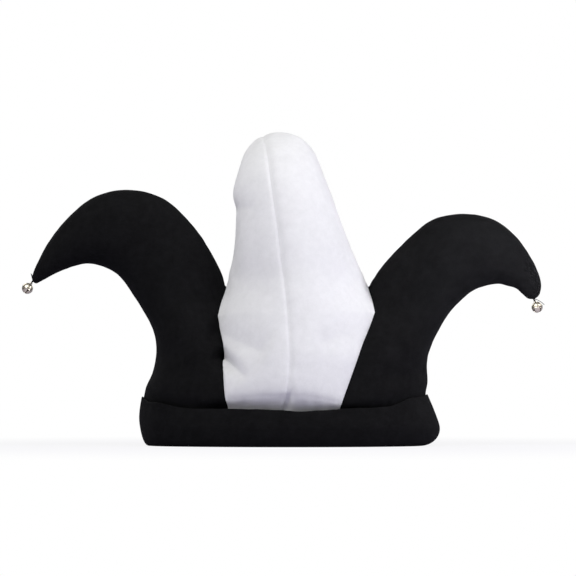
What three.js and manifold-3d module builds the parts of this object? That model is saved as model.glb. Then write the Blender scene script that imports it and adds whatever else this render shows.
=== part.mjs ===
import * as THREE from 'three';
import { mergeVertices } from 'three/addons/utils/BufferGeometryUtils.js';
import Module from 'manifold-3d';

// Three-peaked felt clown hat. Millimetres, +Z up, the front faces -Y, the
// wearer's opening is underneath and the hat stands on the fold of its cuff.

// ---------------------------------------------------------------- sizes
const FELT = 2.0; // wall of the horns and the peak
const SEAM_GAP = 0.6; // free space between two panels along a seam
const FORK_GAP = 1.6; // the same in the sharp groove under each fork
const FORK_NEAR = 8.0; // the walls lie to the inside this close to a fork
const FORK_FAR = 26.0; // and evenly about the surface from here on
const CROWN_X = 5.0; // middle of the head opening, across
const RIM_A = 112.5; // half width of the head opening, middle of the wall
const RIM_B = 72.0; // half depth of the head opening, middle of the wall
const RIM_Z = 5.5; // lower edge of the crown, inside the fold of the cuff
const CUFF_FELT = 2.4; // wall of the cuff
const CUFF_TOP_FELT = 1.5; // wall of the cuff along its top edge
const CUFF_CLEAR = 2.4; // room between the cuff's inside leg and the crown
const CUFF_LEG_Z = 9.0; // height of the part of the cuff turned to the inside
const CUFF_STEPS = 48;
const BELL_R = 4.7; // jingle bell, outside radius
const BELL_WALL = 0.6;
const BELL_SLOT = 0.9;
const LOOP_R = 0.9; // loop on the bell, middle of the wire
const LOOP_WIRE = 0.35; // radius of the wire

const PANEL_COLS = 9; // columns from a seam to the outline of a horn
const PEAK_COLS = 7; // columns from the middle seam to the side of the peak
const CROWN_AT = [0, 0.8, 1.6, 2.4, 3.2, 4, 4.6, 5, 5.5, 6]; // table rows used from the rim up to the fork
const HORN_ROWS = 14; // rows from the fork to the end of a horn
const PEAK_ROWS = 14; // rows from the fork to the end of the peak
const FORK = 6; // table row at which the horns leave the peak
const PINCH_HORN = 1.7; // table rows over which the sewing pinches the horns
const PINCH_PEAK = 1.2; // the same on the peak above the fork

// ---------------------------------------------------------------- tables
// One row per section of a black horn, from the rim to its end. The outer edge
// lies in the middle plane. The inner edge is the seam with the peak up to the
// fork and the horn's own inner outline after it. thick is front to back, and
// lobe goes from the oval of the crown (0) to the lens of a horn (1).
const HORN_COLUMNS = ['outer_x', 'outer_z', 'inner_x', 'inner_y', 'inner_z', 'thick', 'lobe'];
const LEFT_HORN = [
  [-107.5, RIM_Z, -46.5, -63.6, RIM_Z, 118, 0.0],
  [-117.4, 33.0, -47.2, -57.4, 27.0, 114, 0.0],
  [-116.6, 47.5, -49.4, -60.0, 40.5, 106, 0.05],
  [-110.8, 61.0, -51.1, -49.0, 69.0, 96, 0.18],
  [-107.8, 73.0, -51.2, -38.5, 87.0, 84, 0.4],
  [-107.0, 84.0, -56.0, -20.0, 110.6, 72, 0.78],
  [-108.5, 94.0, -49.5, 0.0, 135.0, 64, 1.0],
  [-114.5, 108.5, -54.5, 0.0, 147.5, 57, 1.0],
  [-126.5, 127.5, -64.5, 0.0, 166.8, 51, 1.0],
  [-138.8, 144.5, -79.0, 0.0, 187.2, 46, 1.0],
  [-151.8, 152.7, -103.4, 0.0, 209.2, 42, 1.0],
  [-165.8, 156.1, -133.5, 0.0, 216.6, 38, 1.0],
  [-180.0, 153.2, -161.0, 0.0, 210.8, 32, 1.0],
  [-193.4, 148.0, -182.2, 0.0, 193.9, 25, 1.0],
  [-203.5, 142.3, -198.0, 0.0, 173.6, 18, 1.0],
  [-208.6, 139.6, -208.0, 0.0, 156.6, 11.5, 1.0],
  [-211.0, 138.6, -212.6, 0.0, 146.4, 7.5, 1.0],
  [-213.4, 140.2, -213.4, 0.0, 140.2, 0, 1.0],
];
const RIGHT_HORN = [
  [117.5, RIM_Z, 39.0, -68.6, RIM_Z, 118, 0.0],
  [117.4, 28.0, 45.4, -59.8, 27.0, 114, 0.0],
  [119.2, 44.0, 49.2, -62.9, 39.0, 106, 0.05],
  [120.4, 54.0, 60.2, -51.8, 69.5, 96, 0.18],
  [120.2, 63.0, 66.4, -41.2, 86.7, 84, 0.4],
  [120.4, 72.0, 76.8, -20.5, 113.0, 72, 0.78],
  [122.5, 81.5, 72.0, 0.0, 135.0, 64, 1.0],
  [128.8, 95.5, 78.4, 0.0, 144.2, 57, 1.0],
  [139.4, 112.8, 88.6, 0.0, 156.8, 51, 1.0],
  [151.5, 125.9, 105.0, 0.0, 173.5, 46, 1.0],
  [163.7, 134.5, 126.2, 0.0, 190.4, 42, 1.0],
  [181.0, 138.7, 150.5, 0.0, 195.8, 38, 1.0],
  [191.8, 136.6, 174.8, 0.0, 192.0, 32, 1.0],
  [198.5, 134.0, 193.2, 0.0, 180.4, 25, 1.0],
  [203.0, 129.8, 206.6, 0.0, 163.6, 18, 1.0],
  [205.8, 127.2, 217.0, 0.0, 141.5, 11.5, 1.0],
  [208.2, 125.6, 216.8, 0.0, 129.6, 7.5, 1.0],
  [212.4, 125.2, 212.4, 0.0, 125.2, 0, 1.0],
];

// The middle seam of the peak, from the rim up to the fork. The back is the
// same, turned to +Y.
const PEAK_FRONT_COLUMNS = ['seam_x', 'front_y', 'seam_z'];
const PEAK_FRONT = [
  [-2.0, -71.9, RIM_Z],
  [-1.6, -62.8, 26.5],
  [2.4, -72.4, 45.0],
  [4.6, -69.8, 69.0],
  [4.3, -65.0, 87.0],
  [2.5, -56.8, 114.0],
  [0.6, -49.5, 135.0],
];

// Oval sections of the peak above the fork. The middle of each section, its half
// sizes, how far it is tipped backward and where the front seam crosses it.
const PEAK_COLUMNS = ['x', 'y', 'z', 'half_w', 'half_d', 'tilt_deg', 'seam_x'];
const PEAK = [
  [11.25, 0.0, 135.0, 60.75, 49.5, 0, 0.6],
  [9.8, 0.5, 147.0, 55.2, 46.6, 0, -1.4],
  [7.0, 1.5, 170.0, 48.2, 43.0, 3, -4.2],
  [3.0, 3.5, 194.0, 43.0, 39.0, 9, -8.0],
  [-2.0, 8.0, 214.8, 40.6, 35.5, 21, -11.8],
  [-3.2, 16.0, 230.6, 35.4, 32.4, 40, -14.8],
  [-3.6, 28.0, 240.4, 31.8, 28.8, 64, -17.6],
  [-4.6, 41.0, 242.6, 27.6, 24.8, 90, -18.4],
  [-5.6, 53.0, 237.2, 21.8, 20.0, 115, -17.0],
  [-6.0, 62.0, 226.0, 16.0, 15.0, 138, -13.6],
  [-6.2, 67.5, 215.0, 10.5, 10.0, 155, -10.0],
  [-6.3, 70.5, 206.0, 5.6, 5.4, 162, -7.6],
  [-6.3, 71.6, 201.6, 0, 0, 165, -6.3],
];

// Dents and creases in the front, along a line seen from the front.
const FOLD_COLUMNS = ['x0', 'z0', 'x1', 'z1', 'width', 'depth'];
const FRONT_FOLDS = [
  [-51.0, 89.0, -33.0, 64.0, 6.5, 3.2], // crease beside the left seam
  [-44.0, 104.0, -24.0, 96.0, 13.0, 2.6], // soft dent above it
  [-60.0, 203.0, -26.0, 199.0, 9.0, 2.0], // slight waist under the bend
  [84.0, 58.0, 118.0, 62.0, 10.0, 2.2], // slack above the right of the cuff
];

// The cuff round the rim. 0 is the right, 90 the back, 180 the left and 270 the
// front. r is measured outward from the middle of the crown's wall.
const CUFF_COLUMNS = ['angle_deg', 'top_z', 'top_r', 'belly_r', 'belly_z', 'foot_r'];
const CUFF = [
  [0, 43.0, 4.6, 14.9, 14.4, -1.5],
  [25, 40.0, 4.2, 12.2, 14.6, 0.4],
  [45, 33.5, 4.8, 10.2, 15.0, 2.0],
  [65, 31.0, 5.0, 9.0, 15.0, 3.0],
  [90, 31.0, 5.0, 8.6, 15.0, 3.0],
  [135, 33.0, 6.0, 9.6, 16.0, 3.4],
  [160, 37.0, 12.0, 14.0, 21.0, 5.4],
  [180, 41.0, 13.4, 15.2, 24.0, 7.0],
  [200, 36.5, 12.0, 14.0, 21.0, 5.4],
  [225, 31.2, 4.4, 8.8, 16.0, 3.4],
  [240, 31.4, 2.8, 7.8, 15.0, 3.0],
  [255, 31.0, 2.8, 7.6, 15.0, 3.0],
  [265, 30.4, 3.0, 7.6, 15.0, 3.0],
  [275, 28.7, 3.0, 7.6, 15.0, 3.0],
  [284, 30.0, 3.0, 7.6, 15.0, 3.0],
  [293, 31.6, 2.8, 7.8, 15.0, 3.0],
  [303, 32.0, 2.6, 8.0, 15.0, 2.8],
  [315, 33.0, 2.6, 9.0, 15.0, 2.0],
  [335, 40.4, 3.5, 12.1, 14.6, 0.4],
];

// Each bell hangs at the end of its horn. The direction runs from the loop to
// the slotted end.
const BELL_COLUMNS = ['x', 'z', 'dir_x', 'dir_z', 'turn_deg'];
const LEFT_BELL = [-218.2, 133.6, -0.58, -0.81, 20];
const RIGHT_BELL = [215.2, 117.6, 0.35, -0.94, 30];

// ---------------------------------------------------------------- helpers
const named = (columns, row) => Object.fromEntries(columns.map((c, i) => [c, row[i]]));
const mix = (a, b, t) => a + (b - a) * t;

// Smooth row between the rows of a table, with t counted in rows.
function rowAt(columns, table, t) {
  const last = table.length - 1;
  const i = Math.min(Math.floor(t), last - 1);
  const f = t - i;
  const a = table[Math.max(i - 1, 0)];
  const b = table[i];
  const c = table[i + 1];
  const d = table[Math.min(i + 2, last)];
  const row = b.map((_, k) => {
    const m0 = (c[k] - a[k]) / 2;
    const m1 = (d[k] - b[k]) / 2;
    const f2 = f * f;
    const f3 = f2 * f;
    return (2 * f3 - 3 * f2 + 1) * b[k] + (f3 - 2 * f2 + f) * m0
      + (-2 * f3 + 3 * f2) * c[k] + (f3 - f2) * m1;
  });
  return named(columns, row);
}

// Smooth value of the cuff's table at an angle, going round.
function cuffAt(deg) {
  const n = CUFF.length;
  const a = ((deg % 360) + 360) % 360;
  let i = 0;
  while (i < n - 1 && CUFF[i + 1][0] <= a) i += 1;
  const start = CUFF[i][0];
  const end = i + 1 < n ? CUFF[i + 1][0] : 360;
  const f = (1 - Math.cos(Math.PI * (a - start) / (end - start))) / 2;
  const next = CUFF[(i + 1) % n];
  return named(CUFF_COLUMNS, CUFF[i].map((v, k) => mix(v, next[k], f)));
}

// ---------------------------------------------------------------- felt surface
// All panels share one middle surface, so that their walls meet along the seams.
const points = [];
const pointKeys = new Map();
function pointIndex(p) {
  const key = `${Math.round(p.x * 1e3)},${Math.round(p.y * 1e3)},${Math.round(p.z * 1e3)}`;
  if (!pointKeys.has(key)) {
    pointKeys.set(key, points.length);
    points.push(p.clone());
  }
  return pointKeys.get(key);
}

const panels = new Map();
function addGrid(name, grid, flip) {
  if (!panels.has(name)) panels.set(name, []);
  const faces = panels.get(name);
  const index = grid.map((row) => row.map(pointIndex));
  for (let i = 0; i + 1 < index.length; i += 1) {
    for (let k = 0; k + 1 < index[i].length; k += 1) {
      const quad = [index[i][k], index[i][k + 1], index[i + 1][k + 1], index[i + 1][k]];
      for (const [a, b, c] of [[0, 1, 2], [0, 2, 3]]) {
        const t = [quad[a], quad[b], quad[c]];
        if (t[0] === t[1] || t[1] === t[2] || t[2] === t[0]) continue;
        faces.push(flip ? [t[0], t[2], t[1]] : t);
      }
    }
  }
}

// How much the seam at a fork draws a section to a sharp edge, by table row.
const pinchAt = (t, rows) => Math.exp(-((t / rows) ** 2));

// Row of a horn. The seam with the peak turns a sharp corner one row below the fork.
function hornRow(table, t) {
  const row = rowAt(HORN_COLUMNS, table, t);
  const i = Math.min(Math.floor(t), table.length - 2);
  const straight = named(HORN_COLUMNS, table[i].map((v, k) => mix(v, table[i + 1][k], t - i)));
  if (t >= FORK) {
    const open = Math.max(0, 1 - (t - FORK));
    for (const c of ['inner_x', 'inner_z']) row[c] = mix(row[c], straight[c], open);
    return Object.assign(row, { inner_y: 0, lobe: 1 });
  }
  const sharp = Math.max(0, 1 - Math.abs(t - (FORK - 1)));
  for (const c of ['inner_x', 'inner_y', 'inner_z']) row[c] = mix(row[c], straight[c], sharp);
  return row;
}

// Section of the front panel of a horn, from its inner edge to its outer edge.
function hornSection(row, pinch) {
  const lobe = Math.min(Math.max(row.lobe, 0), 1);
  const innerY = Math.min(row.inner_y, 0);
  const section = [];
  const a = Math.abs(row.outer_x - CROWN_X);
  const s = Math.min(Math.abs(row.inner_x - CROWN_X) / a, 0.98);
  const start = Math.asin(s);
  const b = innerY / Math.cos(start);
  for (let k = 0; k <= PANEL_COLS; k += 1) {
    const u = k / PANEL_COLS;
    const turn = mix(start, Math.PI / 2, u);
    const ovalV = (Math.sin(turn) - s) / (1 - s);
    const ovalY = b * Math.cos(turn);
    const lensV = (1 - Math.cos(Math.PI * u)) / 2;
    const full = mix(2 * Math.sqrt(lensV * (1 - lensV)), 2.6 * lensV * Math.sqrt(1 - lensV), pinch);
    const lensY = innerY * (1 - lensV) - (row.thick / 2) * full;
    const v = mix(ovalV, lensV, lobe);
    const y = k === PANEL_COLS ? 0 : mix(ovalY, lensY, lobe);
    section.push(new THREE.Vector3(mix(row.inner_x, row.outer_x, v), y, mix(row.inner_z, row.outer_z, v)));
  }
  return section;
}

// Section of one leg of the peak, from the middle seam to the seam with a horn.
function legSection(front, left, right, side, pinch) {
  const horn = side < 0 ? left : right;
  const lobe = Math.min(Math.max(horn.lobe, 0), 1);
  const edgeY = Math.min(horn.inner_y, 0);
  const a = Math.abs(horn.outer_x - CROWN_X);
  const ovalFrom = Math.asin((front.seam_x - CROWN_X) / a);
  const ovalTo = Math.asin(Math.max(-0.98, Math.min(0.98, (horn.inner_x - CROWN_X) / a)));
  const middle = (left.inner_x + right.inner_x) / 2;
  const half = horn.inner_x - middle;
  const lensFrom = Math.asin((front.seam_x - middle) / half);
  const section = [];
  for (let k = 0; k <= PEAK_COLS; k += 1) {
    const u = k / PEAK_COLS;
    const turn = mix(ovalFrom, ovalTo, u);
    const ovalX = CROWN_X + a * Math.sin(turn);
    const fall = (Math.cos(turn) - Math.cos(ovalTo)) / (Math.cos(ovalFrom) - Math.cos(ovalTo));
    const ovalY = mix(edgeY, front.front_y, fall);
    const bend = mix(lensFrom, Math.PI / 2, u);
    const lensX = middle + half * Math.sin(bend);
    const lensY = mix(edgeY, front.front_y, (Math.cos(bend) / Math.cos(lensFrom)) ** (1 + pinch));
    const x = mix(ovalX, lensX, lobe);
    const across = (x - front.seam_x) / (horn.inner_x - front.seam_x);
    const p = new THREE.Vector3(x, mix(ovalY, lensY, lobe), mix(front.seam_z, horn.inner_z, across));
    if (k === PEAK_COLS) p.set(horn.inner_x, edgeY, horn.inner_z);
    section.push(p);
  }
  return section;
}

// Half of an oval section of the peak, from the front seam past one side to the
// back seam.
function peakSection(row, side, pinch) {
  const tilt = THREE.MathUtils.degToRad(row.tilt_deg);
  const back = new THREE.Vector3(0, Math.cos(tilt), -Math.sin(tilt));
  const half = Math.max(row.half_w, 0);
  const depth = Math.max(row.half_d, 0);
  const off = half > 1e-6 ? (row.seam_x - row.x) / half : 0;
  const from = Math.asin(Math.max(-0.6, Math.min(0.6, off)));
  const to = (side * Math.PI) / 2;
  const section = [];
  for (let k = 0; k <= 2 * PEAK_COLS; k += 1) {
    const front = k <= PEAK_COLS;
    const turn = mix(from, to, (front ? k : 2 * PEAK_COLS - k) / PEAK_COLS);
    section.push(new THREE.Vector3(row.x + half * Math.sin(turn), row.y, row.z)
      .addScaledVector(back, (front ? -1 : 1) * depth * Math.max(Math.cos(turn), 0) ** (1 + pinch)));
  }
  return section;
}

const toBack = (section) => section.map((p) => new THREE.Vector3(p.x, -p.y, p.z));

function buildFelt() {
  const tail = LEFT_HORN.length - 1 - FORK;
  const horn = Array.from({ length: HORN_ROWS }, (_, i) => FORK + (tail * (i + 1)) / HORN_ROWS);
  for (const [side, table] of [['left', LEFT_HORN], ['right', RIGHT_HORN]]) {
    const front = [...CROWN_AT, ...horn].map((t) => hornSection(hornRow(table, t), pinchAt(t - FORK, PINCH_HORN)));
    addGrid(`${side}_horn_front`, front, side === 'left');
    addGrid(`${side}_horn_back`, front.map(toBack), side !== 'left');
  }
  for (const [side, sign] of [['left', -1], ['right', 1]]) {
    const legs = CROWN_AT.map((t) => legSection(rowAt(PEAK_FRONT_COLUMNS, PEAK_FRONT, t), hornRow(LEFT_HORN, t),
      hornRow(RIGHT_HORN, t), sign, pinchAt(t - FORK, PINCH_HORN)));
    const name = `peak_${side}`;
    addGrid(name, legs, sign < 0);
    addGrid(name, legs.map(toBack), sign > 0);
    const fork = legs[legs.length - 1];
    const loops = [[...fork, ...toBack(fork).reverse().slice(1)]];
    for (let i = 1; i <= PEAK_ROWS; i += 1) {
      const t = ((PEAK.length - 1) * i) / PEAK_ROWS;
      loops.push(peakSection(rowAt(PEAK_COLUMNS, PEAK, t), sign, pinchAt(t, PINCH_PEAK)));
    }
    addGrid(name, loops, sign < 0);
  }
}

function vertexNormals() {
  const normals = points.map(() => new THREE.Vector3());
  const ab = new THREE.Vector3();
  const ac = new THREE.Vector3();
  for (const faces of panels.values()) {
    for (const [a, b, c] of faces) {
      ab.subVectors(points[b], points[a]);
      ac.subVectors(points[c], points[a]);
      const n = new THREE.Vector3().crossVectors(ab, ac);
      for (const i of [a, b, c]) normals[i].add(n);
    }
  }
  return normals.map((n) => n.normalize());
}

function foldFront() {
  const normals = vertexNormals();
  points.forEach((p, i) => {
    if (p.y > -4) return;
    let push = 0;
    for (const row of FRONT_FOLDS) {
      const f = named(FOLD_COLUMNS, row);
      const dx = f.x1 - f.x0;
      const dz = f.z1 - f.z0;
      const t = Math.min(Math.max(((p.x - f.x0) * dx + (p.z - f.z0) * dz) / (dx * dx + dz * dz), 0), 1);
      const d = Math.hypot(p.x - f.x0 - t * dx, p.z - f.z0 - t * dz);
      push += f.depth * Math.exp(-((d / f.width) ** 2));
    }
    p.addScaledVector(normals[i], -push * Math.min(1, (-4 - p.y) / 12));
  });
}

// How close a point is to the groove between a horn and the peak: 1 in it, 0 away.
const grooves = [];
function nearFork(p) {
  const d = Math.min(...grooves.map((line) => line.closestPointToPoint(p, true, new THREE.Vector3()).distanceTo(p)));
  return 1 - THREE.MathUtils.smoothstep(d, FORK_NEAR, FORK_FAR);
}
function findGrooves() {
  for (const table of [LEFT_HORN, RIGHT_HORN]) {
    const low = named(HORN_COLUMNS, table[FORK - 1]);
    const top = named(HORN_COLUMNS, table[FORK]);
    for (const side of [1, -1]) {
      grooves.push(new THREE.Line3(new THREE.Vector3(low.inner_x, side * low.inner_y, low.inner_z),
        new THREE.Vector3(top.inner_x, 0, top.inner_z)));
    }
  }
}

// A panel with its wall: the middle surface moved half the felt each way, with
// its edges drawn back by half the gap of a seam. In the grooves under the forks
// the wall lies to the inside of the surface, so that the panels stay apart.
function panelGeometry(faces, normals) {
  const edges = new Map();
  for (const f of faces) {
    for (let e = 0; e < 3; e += 1) {
      edges.set(`${f[e]},${f[(e + 1) % 3]}`, [f[e], f[(e + 1) % 3], f]);
    }
  }
  const rim = [...edges.values()].filter(([a, b]) => !edges.has(`${b},${a}`));
  const inward = new Map();
  for (const [a, b, f] of rim) {
    const along = new THREE.Vector3().subVectors(points[b], points[a]).normalize();
    const face = new THREE.Triangle(points[f[0]], points[f[1]], points[f[2]]).getNormal(new THREE.Vector3());
    const into = new THREE.Vector3().crossVectors(face, along).normalize();
    for (const i of [a, b]) inward.set(i, (inward.get(i) || new THREE.Vector3()).add(into));
  }
  const used = [...new Set(faces.flat())];
  const at = new Map(used.map((v, i) => [v, i]));
  const outer = [];
  const inner = [];
  for (const v of used) {
    const p = points[v].clone();
    const near = nearFork(p);
    if (inward.has(v)) {
      const way = inward.get(v).clone();
      const spread = Math.max(way.length() / 2, 0.6);
      p.addScaledVector(way.normalize(), mix(SEAM_GAP, FORK_GAP, near) / 2 / spread);
    }
    outer.push(p.clone().addScaledVector(normals[v], (FELT / 2) * (1 - 0.9 * near)));
    inner.push(p.clone().addScaledVector(normals[v], (-FELT / 2) * (1 + 0.9 * near)));
  }
  const n = used.length;
  const index = [];
  for (const [a, b, c] of faces) {
    index.push(at.get(a), at.get(b), at.get(c));
    index.push(n + at.get(a), n + at.get(c), n + at.get(b));
  }
  for (const [a, b] of rim) {
    index.push(at.get(b), at.get(a), n + at.get(a));
    index.push(at.get(b), n + at.get(a), n + at.get(b));
  }
  return indexedGeometry([...outer, ...inner], index);
}

function indexedGeometry(vertices, index) {
  const geometry = new THREE.BufferGeometry();
  geometry.setAttribute('position', new THREE.Float32BufferAttribute(vertices.flatMap((p) => [p.x, p.y, p.z]), 3));
  geometry.setIndex(index);
  geometry.computeVertexNormals();
  return geometry;
}

// ---------------------------------------------------------------- cuff
const bezier = (a, b, c, d, t) => {
  const s = 1 - t;
  return [0, 1].map((k) => s * s * s * a[k] + 3 * s * s * t * b[k] + 3 * s * t * t * c[k] + t * t * t * d[k]);
};

// Cross section of the cuff, as [r, z] pairs that go round its wall once.
function cuffSection(row) {
  const foot = [row.foot_r, 0];
  const belly = [row.belly_r, row.belly_z];
  const top = [row.top_r, row.top_z];
  const rise = row.top_z - row.belly_z;
  const lower = (t) => bezier(foot, [mix(row.foot_r, row.belly_r, 0.6), 0], [row.belly_r, row.belly_z * 0.5], belly, t);
  const upper = (t) => bezier(belly, [row.belly_r, row.belly_z + rise * 0.25], [mix(row.top_r, row.belly_r, 0.35), row.top_z - rise * 0.3], top, t);
  const steps = [[lower, 0], [lower, 0.35], [lower, 0.7], [upper, 0], [upper, 0.35], [upper, 0.7], [upper, 1]];
  const outside = steps.map(([curve, t]) => curve(t));
  const inside = steps.slice(1).map(([curve, t], i) => {
    const [r0, z0] = curve(Math.max(t - 0.05, 0));
    const [r1, z1] = curve(Math.min(t + 0.05, 1));
    const size = Math.hypot(r1 - r0, z1 - z0);
    const wall = mix(CUFF_FELT, CUFF_TOP_FELT, i / (steps.length - 2));
    const [r, z] = curve(t);
    return [r - (wall * (z1 - z0)) / size, z + (wall * (r1 - r0)) / size];
  }).reverse();
  const capped = [(outside[6][0] + inside[0][0]) / 2, row.top_z + 0.7];
  const leg = -(FELT / 2 + CUFF_CLEAR);
  return [
    [leg - CUFF_FELT, CUFF_LEG_Z], [leg - CUFF_FELT, 3.0], [leg - 0.7 * CUFF_FELT, 0.8], [leg - 0.4 * CUFF_FELT, 0],
    ...outside, capped, ...inside,
    [leg, CUFF_FELT + 0.1], [leg, CUFF_LEG_Z],
  ];
}

function cuffGeometry() {
  const vertices = [];
  const index = [];
  let count = 0;
  for (let i = 0; i < CUFF_STEPS; i += 1) {
    const turn = (2 * Math.PI * i) / CUFF_STEPS;
    const section = cuffSection(cuffAt((360 * i) / CUFF_STEPS));
    const out = new THREE.Vector3(Math.cos(turn) / RIM_A, Math.sin(turn) / RIM_B, 0).normalize();
    count = section.length;
    for (const [r, z] of section) {
      vertices.push(new THREE.Vector3(CROWN_X + RIM_A * Math.cos(turn) + r * out.x, RIM_B * Math.sin(turn) + r * out.y, z));
    }
  }
  for (let i = 0; i < CUFF_STEPS; i += 1) {
    const next = (i + 1) % CUFF_STEPS;
    for (let k = 0; k < count; k += 1) {
      const a = i * count + k;
      const b = i * count + ((k + 1) % count);
      const c = next * count + ((k + 1) % count);
      const d = next * count + k;
      index.push(a, d, c, a, c, b);
    }
  }
  return indexedGeometry(vertices, index);
}

// ---------------------------------------------------------------- bells
const wasm = await Module();
wasm.setup();

function solid(geometry) {
  const g = geometry.clone();
  for (const name of Object.keys(g.attributes)) if (name !== 'position') g.deleteAttribute(name);
  const m = mergeVertices(g, 1e-4);
  return new wasm.Manifold(new wasm.Mesh({
    numProp: 3,
    vertProperties: new Float32Array(m.attributes.position.array),
    triVerts: new Uint32Array(m.index.array),
  }));
}

function bellGeometry(row) {
  const b = named(BELL_COLUMNS, row);
  const ball = new THREE.SphereGeometry(BELL_R, 14, 10).rotateX(Math.PI / 2);
  const hollow = new THREE.SphereGeometry(BELL_R - BELL_WALL, 14, 10).rotateX(Math.PI / 2);
  const loop = new THREE.TorusGeometry(LOOP_R, LOOP_WIRE, 5, 10).rotateX(Math.PI / 2)
    .translate(0, 0, BELL_R + LOOP_R - LOOP_WIRE);
  const slotHeight = BELL_R - 0.9;
  let shell = solid(ball).subtract(solid(hollow)).add(solid(loop));
  shell = shell.subtract(solid(hollow));
  for (const turn of [0, Math.PI / 2]) {
    const slot = new THREE.BoxGeometry(2 * BELL_R + 2, BELL_SLOT, slotHeight)
      .translate(0, 0, -0.9 - slotHeight / 2 - 0.1).rotateZ(turn);
    const ends = new THREE.CylinderGeometry(BELL_SLOT, BELL_SLOT, 2 * BELL_R + 2, 8)
      .rotateZ(Math.PI / 2).translate(0, 0, -1.2).rotateZ(turn);
    shell = shell.subtract(solid(slot)).subtract(solid(ends));
  }
  const pole = new THREE.BoxGeometry(3 * BELL_SLOT, 3 * BELL_SLOT, 2).rotateZ(Math.PI / 4).translate(0, 0, -BELL_R);
  shell = shell.subtract(solid(pole));
  const mesh = shell.getMesh();
  const geometry = new THREE.BufferGeometry();
  geometry.setAttribute('position', new THREE.Float32BufferAttribute(Float32Array.from(mesh.vertProperties), 3));
  geometry.setIndex(Array.from(mesh.triVerts));
  const down = new THREE.Vector3(b.dir_x, 0, b.dir_z).normalize();
  const turn = new THREE.Quaternion().setFromUnitVectors(new THREE.Vector3(0, 0, -1), down)
    .multiply(new THREE.Quaternion().setFromAxisAngle(new THREE.Vector3(0, 0, 1), THREE.MathUtils.degToRad(b.turn_deg)));
  geometry.applyQuaternion(turn).translate(b.x, 0, b.z);
  geometry.computeVertexNormals();
  return geometry;
}

// ---------------------------------------------------------------- hat
const blackFelt = new THREE.MeshStandardMaterial({ color: 0x17171a, roughness: 0.95, metalness: 0 });
const whiteFelt = new THREE.MeshStandardMaterial({ color: 0xeeeef2, roughness: 0.95, metalness: 0 });
const nickel = new THREE.MeshStandardMaterial({ color: 0xcfcabd, roughness: 0.25, metalness: 1 });

buildFelt();
foldFront();
findGrooves();
const normals = vertexNormals();

const hat = new THREE.Group();
hat.name = 'clown_hat';
function place(name, geometry, material) {
  const mesh = new THREE.Mesh(geometry, material);
  mesh.name = name;
  hat.add(mesh);
}
place('cuff', cuffGeometry(), blackFelt);
for (const [name, faces] of panels) {
  place(name, panelGeometry(faces, normals), name.startsWith('peak') ? whiteFelt : blackFelt);
}
place('left_bell', bellGeometry(LEFT_BELL), nickel);
place('right_bell', bellGeometry(RIGHT_BELL), nickel);

export default hat;
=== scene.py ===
import math

import bmesh
import bpy
import numpy as np
from mathutils import Matrix, Quaternion, Vector


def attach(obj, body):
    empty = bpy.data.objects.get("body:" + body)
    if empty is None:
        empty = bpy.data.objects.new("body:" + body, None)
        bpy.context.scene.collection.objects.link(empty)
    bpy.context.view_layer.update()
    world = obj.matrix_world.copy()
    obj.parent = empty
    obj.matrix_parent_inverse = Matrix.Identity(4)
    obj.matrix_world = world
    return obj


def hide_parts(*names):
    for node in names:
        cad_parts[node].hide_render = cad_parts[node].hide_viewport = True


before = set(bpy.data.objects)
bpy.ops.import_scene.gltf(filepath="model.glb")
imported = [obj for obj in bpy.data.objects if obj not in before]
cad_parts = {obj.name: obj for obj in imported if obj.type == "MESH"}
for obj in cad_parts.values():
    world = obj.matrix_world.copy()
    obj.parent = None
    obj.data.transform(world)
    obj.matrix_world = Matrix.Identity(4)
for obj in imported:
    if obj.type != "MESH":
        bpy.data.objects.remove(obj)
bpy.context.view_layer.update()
MM = 0.001

# ------------------------------------------------------------------ sizes, mm
FELT = 2.0
CROWN_X, RIM_A, RIM_B, RIM_Z = 5.0, 112.5, 72.0, 5.5
CUFF_FELT, CUFF_TOP_FELT, CUFF_CLEAR, CUFF_LEG_Z = 2.4, 1.5, 2.4, 9.0
FORK = 6
PINCH_HORN, PINCH_PEAK = 1.7, 1.2
FORK_NEAR, FORK_FAR = 4.0, 14.0

# outer_x, outer_z, inner_x, inner_y, inner_z, thick, lobe
LEFT_HORN = np.array([
    [-107.5, RIM_Z, -46.5, -63.6, RIM_Z, 118, 0.0],
    [-117.4, 33.0, -47.2, -57.4, 27.0, 114, 0.0],
    [-116.6, 47.5, -49.4, -60.0, 40.5, 106, 0.05],
    [-110.8, 61.0, -51.1, -49.0, 69.0, 96, 0.18],
    [-107.8, 73.0, -51.2, -38.5, 87.0, 84, 0.4],
    [-107.0, 84.0, -56.0, -20.0, 110.6, 72, 0.78],
    [-108.5, 94.0, -49.5, 0.0, 135.0, 64, 1.0],
    [-114.5, 108.5, -54.5, 0.0, 147.5, 57, 1.0],
    [-126.5, 127.5, -64.5, 0.0, 166.8, 51, 1.0],
    [-138.8, 144.5, -79.0, 0.0, 187.2, 46, 1.0],
    [-151.8, 152.7, -103.4, 0.0, 209.2, 42, 1.0],
    [-165.8, 156.1, -133.5, 0.0, 216.6, 38, 1.0],
    [-180.0, 153.2, -161.0, 0.0, 210.8, 32, 1.0],
    [-193.4, 148.0, -182.2, 0.0, 193.9, 25, 1.0],
    [-203.5, 142.3, -198.0, 0.0, 173.6, 18, 1.0],
    [-208.6, 139.6, -208.0, 0.0, 156.6, 11.5, 1.0],
    [-211.0, 138.6, -212.6, 0.0, 146.4, 7.5, 1.0],
    [-213.4, 140.2, -213.4, 0.0, 140.2, 0, 1.0],
])
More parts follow.
